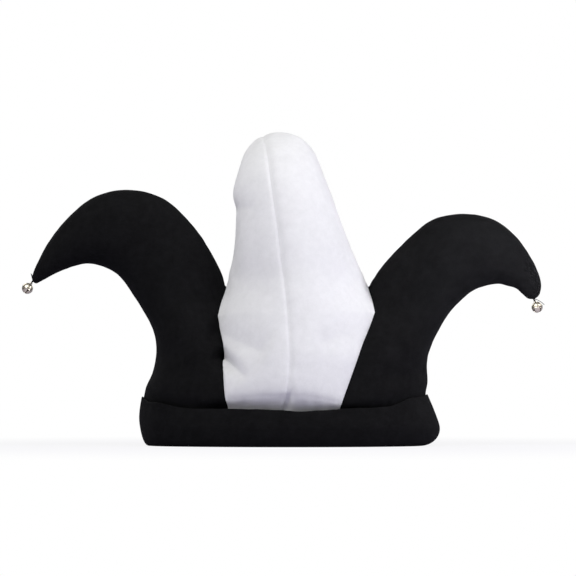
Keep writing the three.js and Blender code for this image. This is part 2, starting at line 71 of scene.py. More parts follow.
RIGHT_HORN = np.array([
    [117.5, RIM_Z, 39.0, -68.6, RIM_Z, 118, 0.0],
    [117.4, 28.0, 45.4, -59.8, 27.0, 114, 0.0],
    [119.2, 44.0, 49.2, -62.9, 39.0, 106, 0.05],
    [120.4, 54.0, 60.2, -51.8, 69.5, 96, 0.18],
    [120.2, 63.0, 66.4, -41.2, 86.7, 84, 0.4],
    [120.4, 72.0, 76.8, -20.5, 113.0, 72, 0.78],
    [122.5, 81.5, 72.0, 0.0, 135.0, 64, 1.0],
    [128.8, 95.5, 78.4, 0.0, 144.2, 57, 1.0],
    [139.4, 112.8, 88.6, 0.0, 156.8, 51, 1.0],
    [151.5, 125.9, 105.0, 0.0, 173.5, 46, 1.0],
    [163.7, 134.5, 126.2, 0.0, 190.4, 42, 1.0],
    [181.0, 138.7, 150.5, 0.0, 195.8, 38, 1.0],
    [191.8, 136.6, 174.8, 0.0, 192.0, 32, 1.0],
    [198.5, 134.0, 193.2, 0.0, 180.4, 25, 1.0],
    [203.0, 129.8, 206.6, 0.0, 163.6, 18, 1.0],
    [205.8, 127.2, 217.0, 0.0, 141.5, 11.5, 1.0],
    [208.2, 125.6, 216.8, 0.0, 129.6, 7.5, 1.0],
    [212.4, 125.2, 212.4, 0.0, 125.2, 0, 1.0],
])
# seam_x, front_y, seam_z
PEAK_FRONT = np.array([
    [-2.0, -71.9, RIM_Z],
    [-1.6, -62.8, 26.5],
    [2.4, -72.4, 45.0],
    [4.6, -69.8, 69.0],
    [4.3, -65.0, 87.0],
    [2.5, -56.8, 114.0],
    [0.6, -49.5, 135.0],
])
# x, y, z, half_w, half_d, tilt_deg, seam_x
PEAK = np.array([
    [11.25, 0.0, 135.0, 60.75, 49.5, 0, 0.6],
    [9.8, 0.5, 147.0, 55.2, 46.6, 0, -1.4],
    [7.0, 1.5, 170.0, 48.2, 43.0, 3, -4.2],
    [3.0, 3.5, 194.0, 43.0, 39.0, 9, -8.0],
    [-2.0, 8.0, 214.8, 40.6, 35.5, 21, -11.8],
    [-3.2, 16.0, 230.6, 35.4, 32.4, 40, -14.8],
    [-3.6, 28.0, 240.4, 31.8, 28.8, 64, -17.6],
    [-4.6, 41.0, 242.6, 27.6, 24.8, 90, -18.4],
    [-5.6, 53.0, 237.2, 21.8, 20.0, 115, -17.0],
    [-6.0, 62.0, 226.0, 16.0, 15.0, 138, -13.6],
    [-6.2, 67.5, 215.0, 10.5, 10.0, 155, -10.0],
    [-6.3, 70.5, 206.0, 5.6, 5.4, 162, -7.6],
    [-6.3, 71.6, 201.6, 0, 0, 165, -6.3],
])
# x0, z0, x1, z1, width up to the right, width down to the left, depth, at the front only, group, part left at the end
FOLDS = [
    [-51.0, 79.2, -34.8, 60.6, 4.0, 8.0, 12.5, 1, 0, 0.3],
    [-51.0, 80.2, -36.0, 62.2, 2.4, 3.6, 4.4, 1, 0.2, 0.25],
    [-58.0, 98.0, -20.0, 80.0, 13.0, 14.0, 7.4, 1, 0.5, 0.5],
    [34.0, 88.0, 66.0, 98.0, 14.0, 12.0, 1.8, 1, 5, 1.0],
    [2.6, 33.0, 7.5, 53.0, 2.0, 3.0, 1.7, 1, 6, 0.05],
    [-46.0, 203.0, -30.0, 201.0, 5.0, 7.0, 1.1, 0, 2, 1.0],
    [84.0, 58.0, 118.0, 62.0, 10.0, 10.0, 2.2, 1, 3, 1.0],
    [-46.0, 40.0, -20.0, 42.0, 3.0, 8.0, 0.8, 1, 4, 1.0],
    [-54.0, 27.0, -14.0, 27.0, 15.5, 6.0, 4.8, 1, 7, 0.3],
    [-20.0, 42.0, 16.0, 42.4, 3.0, 8.0, 0.9, 1, 4, 1.0],
    [16.0, 42.4, 44.0, 37.6, 3.0, 8.0, 0.9, 1, 4, 1.0],
]
# angle_deg, top_z, top_r, belly_r, belly_z, foot_r
CUFF = np.array([
    [0, 43.0, 4.6, 14.9, 14.4, -1.5],
    [25, 40.0, 4.2, 12.2, 14.6, 0.4],
    [45, 33.5, 4.8, 10.2, 15.0, 2.0],
    [65, 31.0, 5.0, 9.0, 15.0, 3.0],
    [90, 31.0, 5.0, 8.6, 15.0, 3.0],
    [135, 33.0, 6.0, 9.6, 16.0, 3.4],
    [160, 37.0, 12.0, 14.0, 21.0, 5.4],
    [180, 41.0, 13.4, 15.2, 24.0, 7.0],
    [200, 36.5, 12.0, 14.0, 21.0, 5.4],
    [225, 31.2, 4.4, 8.8, 16.0, 3.4],
    [240, 31.4, 2.8, 7.8, 15.0, 3.0],
    [255, 31.0, 2.8, 7.6, 15.0, 3.0],
    [265, 30.4, 3.0, 7.6, 15.0, 3.0],
    [275, 28.7, 3.0, 7.6, 15.0, 3.0],
    [284, 30.0, 3.0, 7.6, 15.0, 3.0],
    [293, 31.6, 2.8, 7.8, 15.0, 3.0],
    [303, 32.0, 2.6, 8.0, 15.0, 2.8],
    [315, 33.0, 2.6, 9.0, 15.0, 2.0],
    [335, 40.4, 3.5, 12.1, 14.6, 0.4],
])
# x, z, dir_x, dir_z, turn_deg
BELLS = {"left_bell": (-218.2, 133.6, -0.58, -0.81, 20), "right_bell": (215.2, 117.6, 0.35, -0.94, 30)}
BELL_R, BELL_WALL, BELL_SLOT, LOOP_R, LOOP_WIRE = 4.7, 0.6, 0.9, 0.9, 0.35

COLS = 72          # across a horn panel
PCOLS = 56         # across a half of the peak, front or back
CROWN_ROWS = 120
HORN_ROWS = 120
PEAK_ROWS = 150


# ------------------------------------------------------------------ noise
_rng = np.random.RandomState(11)
_perm = np.concatenate([_rng.permutation(256)] * 3)
_grad = _rng.normal(size=(256, 3))
_grad /= np.linalg.norm(_grad, axis=1)[:, None]


def noise(p):
    """Smooth noise of points, about -0.7 to 0.7, the same on every run."""
    i = np.floor(p).astype(int)
    f = p - i
    w = f * f * f * (f * (f * 6 - 15) + 10)
    total = np.zeros(len(p))
    for dx in (0, 1):
        for dy in (0, 1):
            for dz in (0, 1):
                h = _perm[_perm[_perm[(i[:, 0] + dx) & 255] + ((i[:, 1] + dy) & 255)] + ((i[:, 2] + dz) & 255)]
                d = (_grad[h] * (f - np.array([dx, dy, dz]))).sum(1)
                total += d * (w[:, 0] if dx else 1 - w[:, 0]) * (w[:, 1] if dy else 1 - w[:, 1]) * (w[:, 2] if dz else 1 - w[:, 2])
    return total


def mix(a, b, t):
    return a + (b - a) * t


def smooth(a, b, x):
    t = np.clip((x - a) / (b - a), 0, 1)
    return t * t * (3 - 2 * t)


# ------------------------------------------------------------------ felt surface
def row_at(table, t):
    last = len(table) - 1
    i = min(int(math.floor(t)), last - 1)
    f = t - i
    a, b, c, d = table[max(i - 1, 0)], table[i], table[i + 1], table[min(i + 2, last)]
    return ((2 * f**3 - 3 * f**2 + 1) * b + (f**3 - 2 * f**2 + f) * (c - a) / 2
            + (-2 * f**3 + 3 * f**2) * c + (f**3 - f**2) * (d - b) / 2)


def horn_row(table, t):
    r = row_at(table, t).copy()
    i = min(int(t), len(table) - 2)
    straight = mix(table[i], table[i + 1], t - i)
    if t >= FORK:
        r[[2, 4]] = mix(r[[2, 4]], straight[[2, 4]], max(0.0, 1 - (t - FORK)))
        r[3], r[6] = 0.0, 1.0
        return r
    sharp = max(0.0, 1 - abs(t - (FORK - 1)))
    r[2:5] = mix(r[2:5], straight[2:5], sharp)
    r[3], r[6] = min(r[3], 0.0), min(max(r[6], 0.0), 1.0)
    return r


def pinch_at(t, rows):
    return math.exp(-((t / rows) ** 2))


def spread(n):
    """Fractions from 0 to 1, closer together at both ends."""
    u = np.arange(n + 1) / n
    return 0.4 * u + 0.6 * (1 - np.cos(np.pi * u)) / 2


def horn_section(r, pinch):
    ox, oz, ix, iy, iz, thick, lobe = r
    a = abs(ox - CROWN_X)
    s = min(abs(ix - CROWN_X) / a, 0.98)
    start = math.asin(s)
    u = spread(COLS)
    turn = mix(start, math.pi / 2, u)
    oval_v = (np.sin(turn) - s) / (1 - s)
    oval_y = iy / math.cos(start) * np.cos(turn)
    lens_v = (1 - np.cos(np.pi * u)) / 2
    left = np.clip(lens_v * (1 - lens_v), 0, None)
    full = mix(2 * np.sqrt(left), 2.6 * lens_v * np.sqrt(np.clip(1 - lens_v, 0, None)), pinch)
    lens_y = iy * (1 - lens_v) - thick / 2 * full
    v = mix(oval_v, lens_v, lobe)
    y = mix(oval_y, lens_y, lobe)
    y[-1] = 0.0
    return np.stack([mix(ix, ox, v), y, mix(iz, oz, v)], 1)


def leg_section(front, left, right, side, pinch):
    sx, fy, sz = front
    ox, oz, ix, iy, iz, thick, lobe = left if side < 0 else right
    a = abs(ox - CROWN_X)
    o0 = math.asin((sx - CROWN_X) / a)
    o1 = math.asin(max(-0.98, min(0.98, (ix - CROWN_X) / a)))
    middle = (left[2] + right[2]) / 2
    half = ix - middle
    l0 = math.asin((sx - middle) / half)
    u = spread(PCOLS)
    turn = mix(o0, o1, u)
    oval_x = CROWN_X + a * np.sin(turn)
    oval_y = mix(iy, fy, (np.cos(turn) - math.cos(o1)) / (math.cos(o0) - math.cos(o1)))
    bend = mix(l0, math.pi / 2, u)
    lens_x = middle + half * np.sin(bend)
    lens_y = mix(iy, fy, (np.clip(np.cos(bend), 0, None) / math.cos(l0)) ** (1 + pinch))
    x = mix(oval_x, lens_x, lobe)
    p = np.stack([x, mix(oval_y, lens_y, lobe), mix(sz, iz, (x - sx) / (ix - sx))], 1)
    p[-1] = (ix, iy, iz)
    return p


def peak_section(r, side, pinch):
    x, y, z, hw, hd, tilt, sx = r
    t = math.radians(tilt)
    hw, hd = max(hw, 0.0), max(hd, 0.0)
    off = (sx - x) / hw if hw > 1e-6 else 0.0
    start = math.asin(max(-0.6, min(0.6, off)))
    u = spread(PCOLS)
    turn = mix(start, side * math.pi / 2, u)
    turn = np.concatenate([turn, turn[::-1][1:]])
    sign = np.where(np.arange(2 * PCOLS + 1) <= PCOLS, -1.0, 1.0)
    d = sign * hd * np.clip(np.cos(turn), 0, None) ** (1 + pinch)
    return np.stack([x + hw * np.sin(turn), y + d * math.cos(t), z - d * math.sin(t)], 1)


def to_back(g):
    return g * np.array([1.0, -1.0, 1.0])


def soften(low, high):
    """The same two grids with no crease across the row that they share."""
    g = np.concatenate([low, high[1:]])
    soft = g.copy()
    for _ in range(120):
        soft[1:-1] = (soft[:-2] + 2 * soft[1:-1] + soft[2:]) / 4
    row = (np.arange(len(g)) - (len(low) - 1)) / 16.0
    w = np.exp(-row ** 2)[:, None] * (1 - smooth(0.8, 1.0, np.arange(PCOLS + 1) / PCOLS))[None]
    g = g + (soft - g) * w[:, :, None]
    return g[:len(low)], g[len(low) - 1:]


crown_t = [FORK * i / CROWN_ROWS for i in range(CROWN_ROWS + 1)]
tail = len(LEFT_HORN) - 1 - FORK
# rows get closer together towards the end of a horn
horn_t = [FORK + tail * (1 - (1 - (i + 1) / HORN_ROWS) ** 1.15) for i in range(HORN_ROWS)]
patches = []  # (panel, grid, flip)
for side, table in (("left", LEFT_HORN), ("right", RIGHT_HORN)):
    g = np.array([horn_section(horn_row(table, t), pinch_at(t - FORK, PINCH_HORN)) for t in crown_t + horn_t])
    patches.append((side + "_horn_front", g, side == "left"))
    patches.append((side + "_horn_back", to_back(g), side != "left"))
for side, sign in (("left", -1), ("right", 1)):
    legs = np.array([leg_section(row_at(PEAK_FRONT, t), horn_row(LEFT_HORN, t), horn_row(RIGHT_HORN, t), sign,
                                 pinch_at(t - FORK, PINCH_HORN)) for t in crown_t])
    loops = [np.concatenate([legs[-1], to_back(legs[-1])[::-1][1:]])]
    for i in range(1, PEAK_ROWS + 1):
        t = (len(PEAK) - 1) * i / PEAK_ROWS
        loops.append(peak_section(row_at(PEAK, t), sign, pinch_at(t, PINCH_PEAK)))
    loops = np.array(loops)
    legs_front, top_front = soften(legs, loops[:, :PCOLS + 1])
    legs_back, top_back = soften(to_back(legs), loops[:, ::-1][:, :PCOLS + 1])
    name = "peak_" + side
    patches.append((name, legs_front, sign < 0))
    patches.append((name, legs_back, sign > 0))
    patches.append((name, np.concatenate([top_front, top_back[:, ::-1][:, 1:]], 1), sign < 0))

# one welded middle surface, so that panels share their seams
raw = np.concatenate([g.reshape(-1, 3) for _, g, _ in patches])
_, first, weld = np.unique(np.round(raw * 500).astype(np.int64), axis=0, return_index=True, return_inverse=True)
weld = weld.reshape(-1)
pts = raw[first].copy()
panels, seams, start = {}, {}, 0
for name, g, flip in patches:
    rows, cols = g.shape[:2]
    idx = weld[start:start + rows * cols].reshape(rows, cols)
    start += rows * cols
    q = np.stack([idx[:-1, :-1], idx[:-1, 1:], idx[1:, 1:], idx[1:, :-1]], -1).reshape(-1, 4)
    if flip:
        q = q[:, ::-1]
    panels.setdefault(name, []).append(q)
    seams.setdefault(name, []).append(idx)
panels = {n: np.concatenate(q) for n, q in panels.items()}


def triangles(quads):
    t = np.concatenate([quads[:, [0, 1, 2]], quads[:, [0, 2, 3]]])
    ok = (t[:, 0] != t[:, 1]) & (t[:, 1] != t[:, 2]) & (t[:, 2] != t[:, 0])
    return t[ok]


def surface_normals():
    n = np.zeros_like(pts)
    for quads in panels.values():
        t = triangles(quads)
        f = np.cross(pts[t[:, 1]] - pts[t[:, 0]], pts[t[:, 2]] - pts[t[:, 0]])
        for k in range(3):
            np.add.at(n, t[:, k], f)
    return n / np.maximum(np.linalg.norm(n, axis=1), 1e-12)[:, None]


# seam lines as ordered vertex numbers
lines = {}
for side in ("left", "right"):
    idx = seams[side + "_horn_front"][0]
    lines[side + "_side_front"] = idx[:CROWN_ROWS + 1, 0]
    lines[side + "_inner"] = idx[CROWN_ROWS:, 0]
    lines[side + "_outer"] = idx[:, -1]
    lines[side + "_side_back"] = seams[side + "_horn_back"][0][:CROWN_ROWS + 1, 0]
legs_f, legs_b, loop = seams["peak_left"]
lines["middle_front"] = np.concatenate([legs_f[:, 0], loop[1:, 0]])
lines["middle_back"] = np.concatenate([legs_b[:, 0], loop[1:, -1]])

def nearest_seam(p, names):
    """Distance to the nearest of some seams, and how far along it that is."""
    line_points, line_along = [], []
    for k, name in enumerate(names):
        q = pts[lines[name]]
        step = np.concatenate([[0], np.linalg.norm(np.diff(q, axis=0), axis=1)])
        line_points.append(q)
        line_along.append(np.cumsum(step) + 900.0 * k)
    line_points, line_along = np.concatenate(line_points), np.concatenate(line_along)
    d, a = np.empty(len(p)), np.empty(len(p))
    for i in range(0, len(p), 2000):
        q = ((p[i:i + 2000, None, :] - line_points[None]) ** 2).sum(2)
        j = q.argmin(1)
        d[i:i + 2000] = np.sqrt(q[np.arange(len(j)), j])
        a[i:i + 2000] = line_along[j]
    return d, a


def near_fork(p):
    best = np.full(len(p), 1e9)
    for table in (LEFT_HORN, RIGHT_HORN):
        lo, hi = table[FORK - 1], table[FORK]
        for s in (1, -1):
            a, b = np.array([lo[2], s * lo[3], lo[4]]), np.array([hi[2], 0, hi[4]])
            t = np.clip((p - a) @ (b - a) / ((b - a) @ (b - a)), 0, 1)
            best = np.minimum(best, np.linalg.norm(p - a - t[:, None] * (b - a), axis=1))
    return 1 - smooth(FORK_NEAR, FORK_FAR, best)


# dents and creases, then the soft unevenness of felt, seams drawn in, small puckers
horn_points = np.unique(np.concatenate([q.reshape(-1) for n, q in panels.items() if "horn" in n]))
horn_side = np.sign(np.round(pts[horn_points, 1], 4))
normal = surface_normals()
pushes = {}
for x0, z0, x1, z1, upper, lower, depth, front, group, left in FOLDS:
    way = np.array([x1 - x0, z1 - z0])
    long = np.hypot(*way)
    way /= long
    rel = pts[:, [0, 2]] - np.array([x0, z0])
    t = rel @ way
    across = rel @ np.array([-way[1], way[0]])
    past = np.maximum(np.maximum(-t, t - long), 0)
    shape = np.where(across > 0, np.exp(-np.abs(across / upper) ** 1.4), np.exp(-np.abs(across / lower) ** 1.6))
    shape *= np.exp(-((past / min(upper, 6.0)) ** 2)) * mix(1.0, left, smooth(0.35, 1.0, t / long))
    shape *= depth * (np.clip((-4 - pts[:, 1]) / 12, 0, 1) if front else 1.0)
    pushes[group] = np.maximum(pushes.get(group, 0.0), shape)
# small upright puckers where the felt goes in behind the cuff
tucked = smooth(24, 31, pts[:, 2]) * (1 - smooth(37, 46, pts[:, 2]))
across_front = np.stack([pts[:, 0] / 7.5, np.sign(pts[:, 1]) * 3.0, pts[:, 2] / 40.0], 1)
pushes["pucker"] = 1.1 * tucked * noise(across_front + 21.0)
# the crease and the dent at the left go mostly straight back, so the seam beside them stays where it is
back = normal * np.array([0.05, 1.1, 0.6])
pts -= back * (pushes.pop(0) + pushes.pop(0.2) + pushes.pop(0.5))[:, None] + normal * sum(pushes.values())[:, None]

normal = surface_normals()
fork = near_fork(pts)
tips = np.array([LEFT_HORN[-1][[0, 3, 1]], RIGHT_HORN[-1][[0, 3, 1]]])
tip_fade = smooth(5, 30, np.linalg.norm(pts[:, None] - tips[None], axis=2).min(1))
uneven = 0.8 * noise(pts / 46.0) + 0.32 * noise(pts / 17.0 + 9.0) + 0.12 * noise(pts / 6.5 + 31.0) + 0.05 * noise(pts / 2.8 + 57.0)
uneven *= (1 - 0.6 * fork) * (0.3 + 0.7 * tip_fade)
lift = uneven
right_half = np.zeros(len(pts), bool)
right_half[np.unique(panels["peak_right"])] = True
for names, roll, roll_w, draw, draw_w, swell in (
        (["middle_front", "middle_back"], 0.9, 1.5, 0.45, 6.0, 0.0),
        (["left_side_front", "left_side_back", "right_side_front", "right_side_back"], 1.1, 1.7, 0.5, 6.5, 0.0),
        (["left_inner", "left_outer", "right_inner", "right_outer"], 0.55, 1.3, 0.35, 5.5, 0.6)):
    d, along = nearest_seam(pts, names)
    pucker = noise(np.stack([along / 7.0, np.zeros(len(pts)), np.full(len(pts), 4.2)], 1))
    keep = (1 - 0.75 * fork) * (0.25 + 0.75 * tip_fade)
    lift = lift + swell * np.exp(-((d / 9.0) ** 2)) * tip_fade * (1 - fork)
    wide = roll_w * np.where(right_half, 2.3, 1.15) if "middle_front" in names else roll_w
    lift = lift - keep * (roll * np.exp(-((d / wide) ** 2)) + draw * np.exp(-((d / draw_w) ** 2)) * (0.6 + 0.9 * pucker))
# at the sides the felt stays clear of the cuff that stands round it
lift = lift - 0.35 * smooth(85, 105, np.abs(pts[:, 0] - CROWN_X)) * (1 - smooth(43, 54, pts[:, 2]))
rim_fade = smooth(RIM_Z, 26.0, pts[:, 2])
pts += normal * (lift * rim_fade)[:, None]
# front and back of a horn never cross where it is thin
pts[horn_points, 1] = np.where(horn_side < 0, np.minimum(pts[horn_points, 1], -0.02),
                               np.where(horn_side > 0, np.maximum(pts[horn_points, 1], 0.02), 0.0))
normal = surface_normals()


# ------------------------------------------------------------------ mesh helpers
def make_object(name, verts, faces, material, smooth_angle=50):
    mesh = bpy.data.meshes.new(name)
    mesh.from_pydata([tuple(v) for v in np.asarray(verts) * MM], [], [tuple(int(i) for i in f) for f in faces])
    mesh.polygons.foreach_set("use_smooth", [True] * len(mesh.polygons))
    mesh.set_sharp_from_angle(angle=math.radians(smooth_angle))
    mesh.materials.append(material)
    mesh.update()
    obj = bpy.data.objects.new(name, mesh)
    bpy.context.scene.collection.objects.link(obj)
    return obj


def panel_shell(name):
    """Vertices and faces of one felt panel with its wall, its edges drawn back a hair."""
    quads = panels[name]
    used, at = np.unique(quads, return_inverse=True)
    quads = at.reshape(quads.shape)
    p, n, near = pts[used].copy(), normal[used], fork[used]
    faces = [list(dict.fromkeys(q)) for q in quads.tolist()]
    faces = [f for f in faces if len(f) > 2]
    edges = {}
    for f in faces:
        for k in range(len(f)):
            edges[(f[k], f[(k + 1) % len(f)])] = f
    rim = [(a, b, f) for (a, b), f in edges.items() if (b, a) not in edges]
    inward = {}
    for a, b, f in rim:
        along = p[b] - p[a]
        along = along / max(np.linalg.norm(along), 1e-9)
        into = np.cross(n[a] + n[b], along)
        into = into / max(np.linalg.norm(into), 1e-9)
        for i in (a, b):
            inward[i] = inward.get(i, 0) + into
    for i, way in inward.items():
        p[i] += way / max(np.linalg.norm(way), 1e-9) * 0.012
    half = FELT / 2
    outer = p + n * (half * (1 - 0.9 * near))[:, None]
    depth = half * (1 + 0.9 * near)
    depth = mix(depth, np.minimum(depth, np.maximum(0.12, 0.7 * np.abs(p[:, 1]))), smooth(0.0, 0.3, near))
    inner = p - n * depth[:, None]
    m = len(used)
    out = list(faces)
    out += [[i + m for i in reversed(f)] for f in faces]
    out += [[b, a, a + m, b + m] for a, b, _ in rim]
    return np.concatenate([outer, inner]), out


# ------------------------------------------------------------------ materials
def new_material(name):
    mat = bpy.data.materials.new(name)
    mat.use_nodes = True
    tree = mat.node_tree
    bsdf = next(n for n in tree.nodes if n.type == "BSDF_PRINCIPLED")
    return mat, tree, bsdf


def node(tree, kind, **inputs):
    n = tree.nodes.new(kind)
    for key, value in inputs.items():
        n.inputs[key.replace("_", " ")].default_value = value
    return n


def fibre(tree, coords, turn, scale):
    """Noise drawn out in one direction, as tangled fibres are."""
    m = tree.nodes.new("ShaderNodeMapping")
    m.inputs["Rotation"].default_value = turn
    m.inputs["Scale"].default_value = scale
    tree.links.new(coords, m.inputs["Vector"])
    n = node(tree, "ShaderNodeTexNoise", Scale=1.0, Detail=3.0, Roughness=0.6)
    tree.links.new(m.outputs["Vector"], n.inputs["Vector"])
    return n.outputs["Fac"]


def math_node(tree, op, a, b):
    n = tree.nodes.new("ShaderNodeMath")
    n.operation = op
    for k, v in enumerate((a, b)):
        if isinstance(v, (int, float)):
            n.inputs[k].default_value = v
        else:
            tree.links.new(v, n.inputs[k])
    return n.outputs[0]


def felt_material(name, low, high, sheen, tint, bump, rough, gloss):
    mat, tree, bsdf = new_material(name)
    coords = tree.nodes.new("ShaderNodeTexCoord").outputs["Object"]
    strands = None
    for k, turn in enumerate(((0.2, 0.1, 0.5), (0.9, 0.6, 2.0), (1.9, 1.1, 3.6), (2.7, 0.4, 5.1))):
        f = fibre(tree, coords, turn, (2600, 330, 2600))
        strands = f if strands is None else math_node(tree, "MAXIMUM", strands, f)
    grain = node(tree, "ShaderNodeTexNoise", Scale=900.0, Detail=4.0, Roughness=0.65)
    tree.links.new(coords, grain.inputs["Vector"])
    cloud = node(tree, "ShaderNodeTexNoise", Scale=55.0, Detail=3.0, Roughness=0.55)
    tree.links.new(coords, cloud.inputs["Vector"])
    patch = node(tree, "ShaderNodeTexNoise", Scale=190.0, Detail=3.0, Roughness=0.6)
    tree.links.new(coords, patch.inputs["Vector"])
    tone = math_node(tree, "ADD", math_node(tree, "MULTIPLY", strands, 0.4),
                     math_node(tree, "ADD", math_node(tree, "MULTIPLY", grain.outputs["Fac"], 0.15),
                               math_node(tree, "ADD", math_node(tree, "MULTIPLY", cloud.outputs["Fac"], 0.2),
                                         math_node(tree, "MULTIPLY", patch.outputs["Fac"], 0.25))))
    ramp = tree.nodes.new("ShaderNodeValToRGB")
    ramp.color_ramp.elements[0].position = 0.38
    ramp.color_ramp.elements[1].position = 0.68
    ramp.color_ramp.elements[0].color = (*low, 1)
    ramp.color_ramp.elements[1].color = (*high, 1)
    tree.links.new(tone, ramp.inputs["Fac"])
    tree.links.new(ramp.outputs["Color"], bsdf.inputs["Base Color"])
    height = math_node(tree, "ADD", math_node(tree, "MULTIPLY", strands, 1.0),
                       math_node(tree, "MULTIPLY", grain.outputs["Fac"], 0.5))
    b = node(tree, "ShaderNodeBump", Strength=bump, Distance=0.0006)
    tree.links.new(height, b.inputs["Height"])
    tree.links.new(b.outputs["Normal"], bsdf.inputs["Normal"])
    bsdf.inputs["Roughness"].default_value = rough
    bsdf.inputs["Specular IOR Level"].default_value = gloss
    bsdf.inputs["Sheen Weight"].default_value = sheen
    bsdf.inputs["Sheen Roughness"].default_value = 0.55
    bsdf.inputs["Sheen Tint"].default_value = (*tint, 1)
    return mat


black_felt = felt_material("black_felt", (0.0034, 0.0034, 0.0037), (0.0105, 0.0105, 0.0114), 0.01, (0.5, 0.5, 0.52), 0.6, 0.8, 0.03)
white_felt = felt_material("white_felt", (0.745, 0.745, 0.765), (0.865, 0.865, 0.885), 0.08, (1, 1, 1), 0.5, 0.95, 0.15)


def metal_material(name):
    mat, tree, bsdf = new_material(name)
    coords = tree.nodes.new("ShaderNodeTexCoord").outputs["Object"]
    cloud = node(tree, "ShaderNodeTexNoise", Scale=420.0, Detail=4.0, Roughness=0.6)
    tree.links.new(coords, cloud.inputs["Vector"])
    ramp = tree.nodes.new("ShaderNodeValToRGB")
    ramp.color_ramp.elements[0].position = 0.35
    ramp.color_ramp.elements[1].position = 0.7
    ramp.color_ramp.elements[0].color = (0.58, 0.52, 0.41, 1)
    ramp.color_ramp.elements[1].color = (0.80, 0.75, 0.64, 1)
    tree.links.new(cloud.outputs["Fac"], ramp.inputs["Fac"])
    tree.links.new(ramp.outputs["Color"], bsdf.inputs["Base Color"])
    rough = tree.nodes.new("ShaderNodeMapRange")
    rough.inputs["To Min"].default_value = 0.26
    rough.inputs["To Max"].default_value = 0.44
    tree.links.new(cloud.outputs["Fac"], rough.inputs["Value"])
    tree.links.new(rough.outputs["Result"], bsdf.inputs["Roughness"])
    bsdf.inputs["Metallic"].default_value = 1.0
    return mat


nickel = metal_material("bell_nickel")

# ------------------------------------------------------------------ felt panels
root_pieces = []
for name in panels:
    white = name.startswith("peak")
    verts, faces = panel_shell(name)
    obj = make_object(name + "_felt", verts, faces, white_felt if white else black_felt)
    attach(obj, "root")
    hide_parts(name)


# ------------------------------------------------------------------ cuff
def cuff_at(deg):
    a = deg % 360
    n = len(CUFF)
    i = max(k for k in range(n) if CUFF[k][0] <= a)
    nxt = CUFF[(i + 1) % n]
    end = CUFF[i + 1][0] if i + 1 < n else 360
    f = (1 - math.cos(math.pi * (a - CUFF[i][0]) / (end - CUFF[i][0]))) / 2
    return mix(CUFF[i], nxt, f)


def bezier(a, b, c, d, t):
    t = np.asarray(t)[:, None]
    s = 1 - t
    return s**3 * a + 3 * s * s * t * b + 3 * s * t * t * c + t**3 * d


def cuff_section(row):
    _, top_z, top_r, belly_r, belly_z, foot_r = row
    foot, belly, top = np.array([foot_r, 0.0]), np.array([belly_r, belly_z]), np.array([top_r, top_z])
    rise = top_z - belly_z
    n = 12
    u = np.linspace(0, 1, n + 1)
    lower = bezier(foot, np.array([mix(foot_r, belly_r, 0.6), 0.0]), np.array([belly_r, belly_z * 0.5]), belly, u)
    upper = bezier(belly, np.array([belly_r, belly_z + rise * 0.25]),
                   np.array([mix(top_r, belly_r, 0.35), top_z - rise * 0.3]), top, u)
    outside = np.concatenate([lower, upper[1:]])
    way = np.gradient(outside, axis=0)
    way /= np.linalg.norm(way, axis=1)[:, None]
    across = np.stack([-way[:, 1], way[:, 0]], 1)
    wall = np.linspace(CUFF_FELT, CUFF_TOP_FELT, len(outside))
    inside = (outside + across * wall[:, None])[2:]
    # rounded cut edge along the top
    cap = []
    for k in range(1, 6):
        ang = math.pi * k / 6
        c, s = math.cos(ang), math.sin(ang)
        mid = (outside[-1] + inside[-1]) / 2
        cap.append(mid + (outside[-1] - mid) * c + way[-1] * s * CUFF_TOP_FELT * 0.5)
    leg = -(FELT / 2 + CUFF_CLEAR)
    hem = np.array([[leg - CUFF_FELT, CUFF_LEG_Z - 0.6], [leg - CUFF_FELT, 8.0], [leg - CUFF_FELT, 5.0], [leg - CUFF_FELT, 3.0],
                    [leg - 0.92 * CUFF_FELT, 1.7], [leg - 0.7 * CUFF_FELT, 0.7], [leg - 0.4 * CUFF_FELT, 0.12], [leg, 0.0]])
    flat = np.stack([np.linspace(leg, foot_r, 5)[1:-1], np.zeros(3)], 1)
    end = np.array([[leg, CUFF_FELT + 0.1], [leg, 5.0], [leg, 8.0], [leg, CUFF_LEG_Z - 0.6],
                    [leg - 0.3 * CUFF_FELT, CUFF_LEG_Z], [leg - 0.7 * CUFF_FELT, CUFF_LEG_Z]])
    return np.concatenate([hem, flat, outside, np.array(cap), inside[::-1], end])


